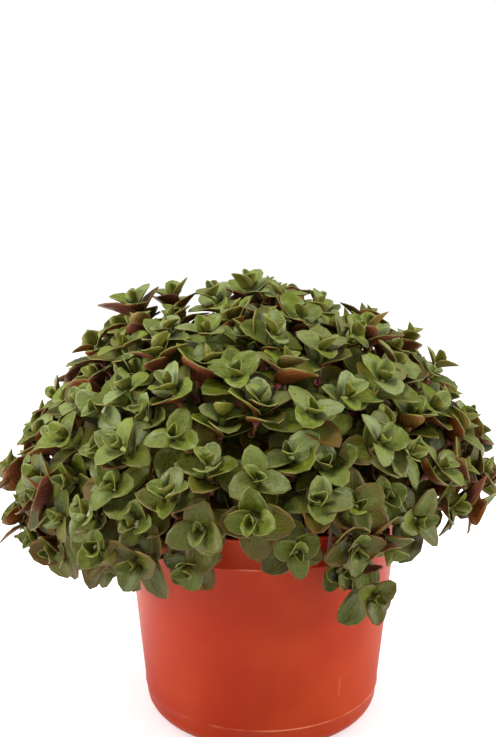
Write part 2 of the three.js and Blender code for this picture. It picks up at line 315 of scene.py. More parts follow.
class Shading:
    """A material under construction: a first colour, and others that are laid over it."""

    def __init__(self, name: str, colour: str) -> None:
        """Starts a material.

        Args:
            name: its name.
            colour: the code of its first colour.
        """
        self.material = bpy.data.materials.new(name)
        self.material.use_nodes = True
        self.tree = self.material.node_tree
        self.colour: Wire | str = colour

    def feed(
        self, sockets: bpy.types.NodeInputs, sources: dict[str | int, Wire | str | float | Place]
    ) -> None:
        """Gives a node's sockets their values.

        Args:
            sockets: the node's inputs.
            sources: for each of them a value of the material, a colour's code or plain numbers.
        """
        for name, source in sources.items():
            if isinstance(source, Wire):
                self.tree.links.new(source.socket, sockets[name])
            else:
                sockets[name].default_value = tint(source) if isinstance(source, str) else source

    def node(self, kind: str, output: str | int, inputs: dict | None = None, **settings: object) -> Wire:
        """Adds a node.

        Args:
            kind: the node's type.
            output: which of its outputs is wanted.
            inputs: what its sockets are fed with.
            settings: its own properties.

        Returns:
            The wanted output.
        """
        node = configure(self.tree.nodes.new(kind), **settings)
        self.feed(node.inputs, inputs or {})
        return Wire(self, node.outputs[output])

    def calc(self, operation: str, first: Wire | float, second: Wire | float = 0.0) -> Wire:
        """One step of arithmetic with one value or two."""
        return self.node("ShaderNodeMath", 0, {0: first, 1: second}, operation=operation)

    def place(self) -> Wire:
        """The surface point in the object's own coordinates."""
        return self.node("ShaderNodeTexCoord", "Object")

    def part(self, vector: Wire, axis: str) -> Wire:
        """A vector's X, Y or Z."""
        return self.node("ShaderNodeSeparateXYZ", axis, {0: vector})

    def stored(self, name: str) -> Wire:
        """A number that the mesh stores at each point."""
        return self.node("ShaderNodeAttribute", "Fac", attribute_name=name)

    def noise(self, grain: Grain, place: Wire | None = None) -> Wire:
        """Soft noise from 0 to 1: blotches in a metre, layers of finer noise and their strength."""
        inputs = dict(zip(("Scale", "Detail", "Roughness"), grain), Vector=place or self.place())
        return self.node("ShaderNodeTexNoise", "Fac", inputs)

    def mix(self, share: Wire, first: Wire | str, second: Wire | str) -> Wire:
        """Two colours mixed, by the share of the second one."""
        return self.node("ShaderNodeMix", 2, {0: share, 6: first, 7: second}, data_type="RGBA")

    def lay(self, share: Wire, colour: Wire | str) -> None:
        """Lays a colour over the ones before it, as far as its share says."""
        self.colour = self.mix(share, self.colour, colour)

    def finish(
        self, rough: Wire | float, gloss: float = 0.5, relief: Wire | None = None, depth: float = 0.0
    ) -> Material:
        """Feeds the shader.

        Args:
            rough: the roughness.
            gloss: the specular level.
            relief: the height of a fine relief, from 0 to 1.
            depth: how deep that relief is, in metres.

        Returns:
            The finished material.
        """
        inputs = {"Base Color": self.colour, "Roughness": rough, "Specular IOR Level": gloss}
        if relief is not None:
            inputs["Normal"] = self.node("ShaderNodeBump", "Normal", {"Distance": depth, "Height": relief})
        self.feed(self.tree.nodes["Principled BSDF"].inputs, inputs)
        return self.material


class BladePattern:
    """What a finish can read on a leaf: its age and chance, its veins and how near its edge is."""

    def __init__(self, look: Shading) -> None:
        """Reads the leaf's map and what its mesh stores.

        Args:
            look: the material under construction.
        """
        leaf_map = look.node("ShaderNodeUVMap", 0, uv_map=LEAF_MAP)
        across = look.part(leaf_map, "X")
        self.along = look.part(leaf_map, "Y")
        self.sideways = abs(across * 2.0 - 1.0)
        self.edge = self.sideways.most(self.along)
        self.stripes = look.calc("SINE", across * (FULL_TURN * LEAF_VEINS))
        # the stored age, which on the mound's skirt also carries painted shade
        self.age = look.stored(AGE)
        self.chance = look.stored(CHANCE)


@dataclass(frozen=True)
class LeafFace:
    """Finish of the leaves' upper faces: satin olive green with fine lengthwise veins.

    Here and in the other finishes, levels are where a layer sets in and where it is full.
    """

    young: str = "#5a651f"
    grown: str = "#3f4807"
    grey_tone_and_sheen: str = "#717b56"
    # the old leaves' colour, which also serves as painted shade on low leaves and at leaf bases
    old: str = "#292702"
    bronzed: str = "#483006"
    margin: str = "#7d7236"
    rim: str = "#5e2f12"
    blotches: Grain = (520.0, 5.0, 0.65)
    grown_levels: Span = (0.0, 0.5)
    old_levels: Span = (0.5, 1.0)
    light_levels: Span = (0.1, 0.19)
    shade: float = 0.55
    cloudy: Grain = (70.0, 2.0, 0.55)
    tone_and_sheen_levels: Span = (0.7, 1.5)
    tone_and_sheen: float = 0.5
    sheen_grain: Grain = (190.0, 3.0, 0.55)
    sheen_levels: Span = (0.5, 0.72)
    sheen: float = 0.55
    fading_levels: Span = (0.2, 0.85)
    sheen_in_shade: float = 0.1
    base_shade_levels: Span = (0.0, 0.42)
    base_shade: float = 0.6
    tip_nearness: float = 0.95
    middle_levels: Span = (0.2, 0.85)
    pale_levels: Span = (0.3, 0.7)
    pale: float = 0.6
    mottling_levels: Span = (0.3, 0.5)
    mottling: float = 0.55
    flush_levels: Span = (0.25, 0.95)
    flush_ages: Span = (0.15, 0.8)
    bronzed_levels: Span = (0.75, 1.4)
    vein_levels: Span = (0.6, 1.0)
    vein_tint: float = 0.1
    red_rim_levels: Span = (0.5, 0.9)
    rim_levels: Span = (0.965, 1.0)
    rim_tint: float = 0.38
    roughness: float = 0.19
    rough_blotches: float = 0.2
    rough_age: float = 0.16
    gloss: float = 0.13
    vein_relief: float = 0.4
    blotch_relief: float = 2.0
    relief: float = 0.0002

    def build(self) -> Material:
        """Makes the material.

        Returns:
            The material.
        """
        look = Shading("leaf_face", self.young)
        leaf = BladePattern(look)
        blotches = look.noise(self.blotches)
        look.lay(leaf.age.ease(*self.grown_levels), self.grown)
        look.lay(leaf.age.ease(*self.old_levels), self.old)
        # painted shade: the lower a leaf stands, the more of the old leaves' dark colour is laid over it
        lit = look.part(look.place(), "Z").ease(*self.light_levels)
        look.lay(lit.rest() * self.shade, self.old)
        # partly a grey tone that differs from leaf to leaf, partly painted sheen: pale grey laid in patches
        # on fresh leaves, strongest on high leaves as painted light
        tone_and_sheen = (leaf.chance + look.noise(self.cloudy)).ease(*self.tone_and_sheen_levels) * self.tone_and_sheen
        sheen = look.noise(self.sheen_grain).ease(*self.sheen_levels) * self.sheen
        fresh = leaf.age.ease(*self.fading_levels).rest()
        sheen_light = lit * (1 - self.sheen_in_shade) + self.sheen_in_shade
        look.lay(tone_and_sheen.most(sheen) * fresh * sheen_light, self.grey_tone_and_sheen)
        # painted shade: darker towards the leaf's base, deep in its rosette
        look.lay(leaf.along.ease(*self.base_shade_levels).rest() * self.base_shade, self.old)
        outer = leaf.sideways.most(leaf.along * self.tip_nearness)
        middle = outer.ease(*self.middle_levels).rest()
        look.lay(middle * blotches.ease(*self.pale_levels) * self.pale, self.young)
        look.lay(blotches.ease(*self.mottling_levels).rest() * self.mottling, self.old)
        flush = outer.ease(*self.flush_levels) * leaf.age.ease(*self.flush_ages)
        look.lay(flush * (leaf.chance + blotches).ease(*self.bronzed_levels), self.bronzed)
        vein = leaf.stripes.ease(*self.vein_levels)
        look.lay(vein * self.vein_tint, self.margin)
        rim = look.mix(leaf.chance.ease(*self.red_rim_levels), self.margin, self.rim)
        look.lay(leaf.edge.ease(*self.rim_levels) * self.rim_tint, rim)
        rough = blotches * self.rough_blotches + self.roughness + leaf.age * self.rough_age
        height = vein * self.vein_relief + blotches * self.blotch_relief
        return look.finish(rough, self.gloss, height, self.relief)


@dataclass(frozen=True)
class LeafBack:
    """Finish of the leaves' undersides: rust to purple, duller than the face."""

    rust: str = "#632f12"
    purple: str = "#552522"
    green: str = "#525a1a"
    margin: str = "#8a6434"
    blotches: Grain = (300.0, 4.0, 0.55)
    purple_levels: Span = (0.35, 0.85)
    fading_levels: Span = (0.08, 0.4)
    freshness: float = 0.85
    mottling: float = 0.15
    vein_levels: Span = (0.4, 1.0)
    vein_tint: float = 0.2
    rim_levels: Span = (0.94, 1.0)
    rim_tint: float = 0.35
    roughness: float = 0.48
    gloss: float = 0.16
    relief: float = 0.00015

    def build(self) -> Material:
        """Makes the material.

        Returns:
            The material.
        """
        look = Shading("leaf_back", self.rust)
        leaf = BladePattern(look)
        blotches = look.noise(self.blotches)
        look.lay(leaf.chance.ease(*self.purple_levels), self.purple)
        look.lay(leaf.age.ease(*self.fading_levels).rest() * self.freshness, self.green)
        look.lay(blotches * self.mottling, self.green)
        vein = leaf.stripes.ease(*self.vein_levels)
        look.lay(vein * self.vein_tint, self.margin)
        look.lay(leaf.edge.ease(*self.rim_levels) * self.rim_tint, self.margin)
        return look.finish(self.roughness, self.gloss, vein + blotches, self.relief)


@dataclass(frozen=True)
class StemSkin:
    """Finish of the stems: green at the tips, then pink purple, and brown low down."""

    green: str = "#66732f"
    pink: str = "#8a4548"
    tawny: str = "#83562a"
    woody: str = "#4a2c1c"
    patches: Grain = (90.0, 3.0, 0.55)
    tawny_levels: Span = (0.42, 0.6)
    grown_levels: Span = (0.1, 0.35)
    woody_levels: Span = (0.105, 0.175)
    woodiness: float = 0.8
    roughness: float = 0.45
    gloss: float = 0.28
    pores: Grain = (900.0, 2.0, 0.55)
    relief: float = 0.0001

    def build(self) -> Material:
        """Makes the material.

        Returns:
            The material.
        """
        look = Shading("stem_skin", self.green)
        skin = look.mix(look.noise(self.patches).ease(*self.tawny_levels), self.pink, self.tawny)
        look.lay(look.stored(AGE).ease(*self.grown_levels), skin)
        low = look.part(look.place(), "Z").ease(*self.woody_levels).rest()
        look.lay(low * self.woodiness, self.woody)
        return look.finish(self.roughness, self.gloss, look.noise(self.pores), self.relief)


@dataclass(frozen=True)
class PotPlastic:
    """Finish of the pot: orange red moulded plastic with faint scuffs, and along its two fine lines pale
    wear and a painted highlight.
    """

    body: str = "#781b02"
    faded: str = "#852a06"
    scuff_and_highlight: str = "#d98f6c"
    clouds: Grain = (14.0, 4.0, 0.55)
    faded_levels: Span = (0.35, 0.75)
    scratches: Grain = (420.0, 5.0, 0.5)
    scratch_stretch: float = 0.18
    scratch_levels: Span = (0.66, 0.76)
    worn_levels: Span = (0.5, 0.7)
    scratched: float = 0.16
    patches: Grain = (45.0, 2.0, 0.55)
    patch_levels: Span = (0.42, 0.66)
    line_wear_and_highlight: float = 0.35
    line_reach: Span = (0.0001, 0.0006)
    roughness: float = 0.37
    rough_clouds: float = 0.12
    gloss: float = 0.08
    pores: Grain = (1500.0, 2.0, 0.55)
    cloud_relief: float = 2.0
    relief: float = 0.00006

    def build(self) -> Material:
        """Makes the material.

        Returns:
            The material.
        """
        look = Shading("pot_plastic", self.body)
        clouds = look.noise(self.clouds)
        look.lay(clouds.ease(*self.faded_levels), self.faded)
        stretch = {"Vector": look.place(), "Scale": (1.0, 1.0, self.scratch_stretch)}
        scratches = look.noise(self.scratches, look.node("ShaderNodeMapping", "Vector", stretch))
        worn = scratches.ease(*self.scratch_levels) * clouds.ease(*self.worn_levels)
        look.lay(worn * self.scratched, self.scuff_and_highlight)
        height = look.part(look.place(), "Z")
        patchy = look.noise(self.patches).ease(*self.patch_levels)
        # partly pale wear, partly painted highlight: a pale colour laid along the two fine lines, where
        # light would catch them
        for line in POT_LINES:
            near = abs(height - line).ease(*self.line_reach).rest()
            look.lay(near * patchy * self.line_wear_and_highlight, self.scuff_and_highlight)
        rough = clouds * self.rough_clouds + self.roughness
        grain = look.noise(self.pores) + clouds * self.cloud_relief
        return look.finish(rough, self.gloss, grain, self.relief)


@dataclass(frozen=True)
class DampSoil:
    """Finish of the potting mix: dark brown peat with lighter crumbs."""

    wet: str = "#241912"
    dry: str = "#4b382a"
    fibre: str = "#6d533b"
    clods: Grain = (160.0, 6.0, 0.7)
    dry_levels: Span = (0.35, 0.7)
    crumbs: Grain = (900.0, 3.0, 0.55)
    fibre_levels: Span = (0.62, 0.75)
    fibrous: float = 0.6
    roughness: float = 0.9
    gloss: float = 0.25
    relief: float = 0.0008

    def build(self) -> Material:
        """Makes the material.

        Returns:
            The material.
        """
        look = Shading("damp_soil", self.wet)
        clods = look.noise(self.clods)
        crumbs = look.noise(self.crumbs)
        look.lay(clods.ease(*self.dry_levels), self.dry)
        look.lay(crumbs.ease(*self.fibre_levels) * self.fibrous, self.fibre)
        return look.finish(self.roughness, self.gloss, clods + crumbs, self.relief)


@dataclass(frozen=True)
class PlainFloor:
    """Finish of the studio floor: white with a trace of haze."""

    white: str = "#ffffff"
    hazy: str = "#fdfdfd"
    clouds: Grain = (3.0, 2.0, 0.55)
    haze: float = 0.1
    roughness: float = 0.8

    def build(self) -> Material:
        """Makes the material.

        Returns:
            The material.
        """
        look = Shading("plain_floor", self.white)
        look.lay(look.noise(self.clouds) * self.haze, self.hazy)
        return look.finish(self.roughness)


@dataclass
class NurseryPot:
    """The moulded pot: a tapered round wall with a rounded base, two fine lines and a lip."""

    finish: Material
    height: float = 0.118
    top_radius: float = 0.075
    taper: float = 0.1
    wall: float = 0.0016
    floor: float = 0.003
    base_rounding: float = 0.009
    base_steps: int = 8
    inner_corner: float = 0.002
    inner_slope: Span = (0.001, 0.0012)
    line_proud: float = 0.0004
    line_width: float = 0.0009
    line_crown: float = 0.3
    lip: float = 0.0008
    lip_arc: Span = (-50.0, 90.0)
    lip_steps: int = 6
    lip_undercut: float = 1.6
    lip_softness: float = 0.3
    foot_recess: float = 0.0008
    foot_width: float = 0.007
    foot_slope: float = 0.8
    drain_holes: int = 6
    drain_radius: float = 0.004
    drain_circle: float = 0.038
    drill_depth: float = 0.012
    drill_sides: int = 32
    sides: int = 144

    def radius_at(self, z: float) -> float:
        """The outer wall's radius at a height."""
        return self.top_radius - self.taper * (self.height - z)

    def arc(self, centre: Span, radius: float, turns: Span, steps: int) -> list[Span]:
        """The points of a rounded stretch of the section.

        Args:
            centre: the rounding's centre.
            radius: its radius.
            turns: where it starts and ends, in degrees above the outward level.
            steps: how many steps it has.

        Returns:
            Radius and height of each point.
        """
        points = []
        for step in range(steps + 1):
            turn = math.radians(turns[0] + (turns[1] - turns[0]) * step / steps)
            points.append((centre[0] + radius * math.cos(turn), centre[1] + radius * math.sin(turn)))
        return points

    def section(self) -> list[Span]:
        """The pot's section, from the middle of its base round to the middle of its floor inside.

        Returns:
            Radius and height of each point.
        """
        rounding = self.base_rounding
        corner = self.radius_at(rounding) - rounding
        sole = corner - self.foot_slope * self.foot_width
        points = [(corner - self.foot_width, self.foot_recess), (sole, 0.0)]
        points += self.arc((corner, rounding), rounding, (-90.0, 0.0), self.base_steps)
        for line in POT_LINES:
            for way in (-1.0, -self.line_crown, self.line_crown, 1.0):
                height = line + way * self.line_width
                at = self.radius_at(height) if abs(way) == 1 else self.radius_at(line) + self.line_proud
                points.append((at, height))
        lip_centre = self.height - self.lip
        under_lip = lip_centre - self.lip_undercut * self.lip
        points.append((self.radius_at(under_lip), under_lip))
        points += self.arc((self.top_radius, lip_centre), self.lip, self.lip_arc, self.lip_steps)
        inner_lip = self.top_radius - self.wall
        soft = self.lip_softness * self.wall
        points += [(inner_lip + soft, self.height), (inner_lip, self.height - soft)]
        points.append((self.radius_at(rounding) - self.wall, rounding))
        inset, rise = self.inner_slope
        points.append((corner + self.inner_corner + inset, self.floor + rise))
        points.append((corner + self.inner_corner - inset, self.floor))
        return points

    def drill(self, pot: Piece) -> None:
        """Cuts the drain holes.

        Args:
            pot: the turned pot.
        """
        drills = []
        for hole in range(self.drain_holes):
            take_hold()
            bpy.ops.mesh.primitive_cylinder_add(
                vertices=self.drill_sides,
                radius=self.drain_radius,
                depth=self.drill_depth,
                location=level(FULL_TURN * hole / self.drain_holes) * self.drain_circle,
            )
            drills.append(bpy.context.object)
        cutter = join(drills, "drills")
        modify(pot, "BOOLEAN", operation="DIFFERENCE", object=cutter, solver="EXACT")
        bpy.data.objects.remove(cutter)

    def build(self) -> None:
        """Makes the pot."""
        pot = turned(self.section(), self.sides)
        self.drill(pot)
        dress(pot, "nursery_pot", self.finish, crease=35)
        settle(pot, "pot_plastic", "pot")


@dataclass
class PottingSoil:
    """The filling of the pot: a plug whose top is cut into rings and roughened."""

    finish: Material
    pot: NurseryPot
    edge_height: float = 0.103
    centre_height: float = 0.106
    gap: float = 0.0006
    rings: int = 26
    sides: int = 96
    clods: Span = (0.006, 0.0022)
    crumbs: Span = (0.002, 0.0011)
    smooth_edge: float = 0.985

    def section(self) -> list[Span]:
        """The soil's section, from the middle of its underside to that of its top.

        Returns:
            Radius and height of each point.
        """
        clearance = self.pot.wall + self.gap
        corner = self.pot.base_rounding
        corner_radius = self.pot.radius_at(corner)
        top_radius = self.pot.radius_at(self.edge_height) - clearance
        points = [
            (corner_radius - corner, self.pot.floor + self.gap),
            (corner_radius - clearance - self.gap, corner),
            (top_radius, self.edge_height),
        ]
        for ring in range(1, self.rings):
            share = 1 - ring / self.rings
            crown = (self.centre_height - self.edge_height) * (1 - share * share)
            points.append((top_radius * share, self.edge_height + crown))
        return points

    def roughen(self, soil: Piece) -> None:
        """Raises clods and crumbs on the soil's top.

        Args:
            soil: the smooth plug.
        """
        top = soil.vertex_groups.new(name="top")
        reach = self.smooth_edge * (self.pot.radius_at(self.edge_height) - self.pot.wall - self.gap)
        for vertex in soil.data.vertices:
            if vertex.co.z > self.edge_height - SAME_PLACE and math.hypot(vertex.co.x, vertex.co.y) < reach:
                top.add([vertex.index], 1.0, "REPLACE")
        for name, (size, rise) in (("clods", self.clods), ("crumbs", self.crumbs)):
            clouds = configure(bpy.data.textures.new(name, "CLOUDS"), noise_scale=size)
            lift = {"texture": clouds, "texture_coords": "LOCAL", "direction": "Z", "strength": rise}
            modify(soil, "DISPLACE", mid_level=0.5, vertex_group="top", **lift)

    def build(self) -> None:
        """Makes the soil."""
        soil = turned(self.section(), self.sides)
        self.roughen(soil)
        dress(soil, "potting_mix", self.finish, crease=50)
        settle(soil, "potting_soil", "soil")


class LeafForm(Enum):
    """The leaf models that the vine repeats."""

    OPEN = "open_leaf"
    ROUND = "round_leaf"
    LONG = "long_leaf"
    CLASPING = "clasping_leaf"
    FOLDED = "folded_leaf"
    COLLAR = "stem_collar"


@dataclass(frozen=True)
class Blade:
    """Proportions of one blade model, as shares of its length."""

    width: float = 0.82
    cup: float = 0.3
    droop: float = 0.16
    thickness: float = 0.032
    rows: tuple[float, ...] = (0.0, 0.10, 0.32, 0.61, 0.87, 1.0)
    widths: tuple[float, ...] = (0.5, 0.82, 1.0, 0.9, 0.52, 0.0)


BLADES: dict[LeafForm, Blade] = {
    LeafForm.OPEN: Blade(),
    LeafForm.ROUND: Blade(width=0.92, cup=0.42, droop=0.06, widths=(0.55, 0.84, 1.0, 0.93, 0.58, 0.0)),
    LeafForm.LONG: Blade(width=0.7, cup=0.36, droop=0.2, widths=(0.42, 0.76, 1.0, 0.9, 0.5, 0.0)),
    LeafForm.CLASPING: Blade(width=0.74, cup=0.85, droop=-0.08),
    LeafForm.FOLDED: Blade(width=0.6, cup=1.5, droop=-0.12, thickness=0.04),
}


@dataclass
class LeafModels:
    """The vine's small repeated forms, each modelled once at its own size."""

    face: Material
    back: Material
    skin: Material
    length: float = 0.0185
    columns: int = 4
    collar_sides: int = 8
    collar_radius: float = 0.0015
    collar_height: float = 0.0024
    collar_flare: float = 1.25
    meshes: dict[LeafForm, bpy.types.Mesh] = field(default_factory=dict)

    def build(self) -> None:
        """Models every form and keeps its mesh."""
        models = {form: self.blade(blade) for form, blade in BLADES.items()}
        models[LeafForm.COLLAR] = self.collar()
        for form, model in models.items():
            self.meshes[form] = model.data
            bpy.data.objects.remove(model)

    def blade(self, form: Blade) -> Piece:
        """Models a blade that lies along +Y from the origin with its face up.

        Args:
            form: the blade's proportions.

        Returns:
            The closed leaf.
        """
        rows = len(form.rows) - 1
        half = 0.5 * form.width * self.length
        take_hold()
        bpy.ops.mesh.primitive_grid_add(
            x_subdivisions=self.columns, y_subdivisions=rows, size=1, calc_uvs=True
        )
        leaf = bpy.context.object
        leaf.data.uv_layers[0].name = LEAF_MAP
        mode("EDIT")
        bpy.ops.transform.resize(value=(2 * half, 1, 1), center_override=(0, 0, 0))
        for column in range(self.columns + 1):
            share = 2 * column / self.columns - 1
            select_vertices(leaf, lambda vertex: abs(vertex.co.x - share * half) < SAME_PLACE)
            bpy.ops.transform.translate(value=(0, 0, form.cup * half * share * share))
        for row in reversed(range(rows + 1)):
            start = row / rows - 0.5
            along = form.rows[row]
            width = form.widths[row]
            select_vertices(leaf, lambda vertex: abs(vertex.co.y - start) < SAME_PLACE)
            bpy.ops.transform.resize(value=(width, 1, width * width), center_override=(0, start, 0))
            rise = -form.droop * self.length * along * along
            bpy.ops.transform.translate(value=(0, along * self.length - start, rise))
            bpy.ops.mesh.hide(unselected=False)
        bpy.ops.mesh.reveal()
        bpy.ops.mesh.select_all(action="SELECT")
        bpy.ops.mesh.remove_doubles(threshold=SAME_PLACE)
        mode("OBJECT")
        leaf.data.materials.append(self.face)
        leaf.data.materials.append(self.back)
        thickness = form.thickness * self.length
        modify(leaf, "SOLIDIFY", thickness=thickness, offset=-1.0, use_rim=True, material_offset=1)
        bpy.ops.object.shade_smooth()
        return leaf

    def collar(self) -> Piece:
        """Models the sheath where a pair of leaves clasps the stem, along +Z.

        Returns:
            The sheath.
        """
        take_hold()
        bpy.ops.mesh.primitive_cylinder_add(
            vertices=self.collar_sides,
            radius=self.collar_radius,
            depth=self.collar_height,
            location=(0, 0, 0),
        )
        sheath = bpy.context.object
        sheath.data.uv_layers[0].name = LEAF_MAP
        select_vertices(sheath, lambda vertex: vertex.co.z > 0)
        bpy.ops.transform.resize(
            value=(self.collar_flare, self.collar_flare, 1), center_override=(0, 0, self.collar_height)
        )
        mode("OBJECT")
        dress(sheath, LeafForm.COLLAR.value, self.skin, crease=60)
        return sheath

    def copy(self, form: LeafForm, place: Matrix, age: float, chance: float) -> Piece:
        """Places one copy with a mesh of its own.

        Args:
            form: which model.
            place: where it goes, as a matrix that its mesh takes.
            age: from 0, just unrolled, to 1, old.
            chance: the leaf's own draw for its colours.

        Returns:
            The copy's object, at the origin.
        """
        mesh = self.meshes[form].copy()
        mesh.transform(place)
        for name, value in ((AGE, age), (CHANCE, chance)):
            values = np.full(len(mesh.vertices), value, np.float32)
            mesh.attributes.new(name, "FLOAT", "POINT").data.foreach_set("value", values)
        return linked(form.value, mesh)


@dataclass(frozen=True)
class Whorl:
    """Three leaves round a shoot, as the part has them."""

    depth: float
    out: float
    length: float
    elevation: float
    age: float
    edge: tuple[Span, ...]


OLD_WHORL = Whorl(
    depth=0.010,
    out=0.0014,
    length=0.0185,
    elevation=4.0,
    age=0.55,
    edge=((0.3, -1), (0.68, -0.78), (1, 0), (0.68, 0.78), (0.3, 1)),
)
YOUNG_WHORL = Whorl(
    depth=0.003,
    out=0.0011,
    length=0.014,
    elevation=26.0,
    age=0.3,
    edge=((0.42, -1), (1, 0), (0.42, 1)),
)


@dataclass(frozen=True)
class TipLeaf:
    """A young leaf that stands at the very tip of a shoot."""

    form: LeafForm
    turn: float
    depth: float
    lengths: Span
    lifts: Span


@dataclass(frozen=True)
class SidePair:
    """Two leaves that face each other on a side shoot."""

    form: LeafForm
    depth: float
    length: float
    lift: float
    age: float


TIP_LEAVES = (
    TipLeaf(LeafForm.FOLDED, 0.0, 0.0022, (0.0065, 0.0090), (58, 76)),
    TipLeaf(LeafForm.CLASPING, math.pi, 0.0026, (0.0085, 0.0115), (42, 58)),
)
SIDE_PAIRS = (
    SidePair(LeafForm.ROUND, 0.0045, 0.0130, 36.0, 0.18),
    SidePair(LeafForm.OPEN, 0.0080, 0.0160, 20.0, 0.38),
    SidePair(LeafForm.OPEN, 0.0120, 0.0185, 6.0, 0.55),
)


@dataclass
class Shoot:
    """A growing tip: where it is, which way it points, and how far out on the mound."""

    tip: Array
    axis: Array
    spread: float
    azimuth: float
    trails: bool = False

    def outward(self, turn: float) -> Array:
        """The direction square to the shoot at a turn round it.

        Args:
            turn: the turn.

        Returns:
            The direction.
        """
        side = point(-math.sin(self.azimuth), math.cos(self.azimuth), 0.0)
        side = unit(side - self.axis * float(side @ self.axis))
        front = np.cross(self.axis, side)
        return side * math.cos(turn) + front * math.sin(turn)

    def below(self, depth: float) -> Array:
        """The point of the shoot's axis at a depth under its tip."""
        return self.tip - self.axis * depth


@dataclass
class Leaf:
    """One leaf of a shoot before it is modelled."""

    shoot: Shoot
    turn: float
    depth: float
    out: float
    length: float
    elevation: float
    age: float
    form: LeafForm = LeafForm.OPEN
    edge: tuple[Span, ...] = OLD_WHORL.edge
    roll: float = 0.0
    stretch: float = 1.0
    width: float = 0.72
    cup: float = 0.3
    droop: float = 0.16
    thickness: float = 0.0008
    base: Array = field(init=False)

    def __post_init__(self) -> None:
        """Finds the leaf's base, at its depth under the shoot's tip and out from the axis."""
        self.base = self.shoot.below(self.depth) + self.shoot.outward(self.turn) * self.out

    def directions(self) -> tuple[Array, Array, Array]:
        """The leaf's own directions.

        Returns:
            The directions across it, along it and out of its face.
        """
        outward = self.shoot.outward(self.turn)
        rise = math.radians(self.elevation)
        along = outward * math.cos(rise) + self.shoot.axis * math.sin(rise)
        upper = self.shoot.axis * math.cos(rise) - outward * math.sin(rise)
        return np.cross(along, upper), along, upper

    def edge_points(self) -> Array:
        """The points of the leaf's edge.

        Returns:
            Those on its face and those on its back.
        """
        across, along, upper = self.directions()
        half = 0.5 * self.width * self.length
        points = []
        for length_share, width_share in self.edge:
            lift = self.cup * half * width_share**2 - self.droop * self.length * length_share**2
            face = self.base + along * self.length * length_share + across * half * width_share
            points += [face + upper * lift, face + upper * (lift - self.thickness)]
        return np.array(points)

    def matrix(self, model_length: float) -> Matrix:
        """Lays the model on this leaf's place.

        Args:
            model_length: the length that the model has.

        Returns:
            The matrix, with the leaf's roll about its own length.
        """
        across, along, upper = self.directions()
        rolled = across * math.cos(self.roll) + upper * math.sin(self.roll)
        raised = upper * math.cos(self.roll) - across * math.sin(self.roll)
        scale = self.length / model_length
        return placing(rolled * scale * self.stretch, along * scale, raised * scale, self.base)


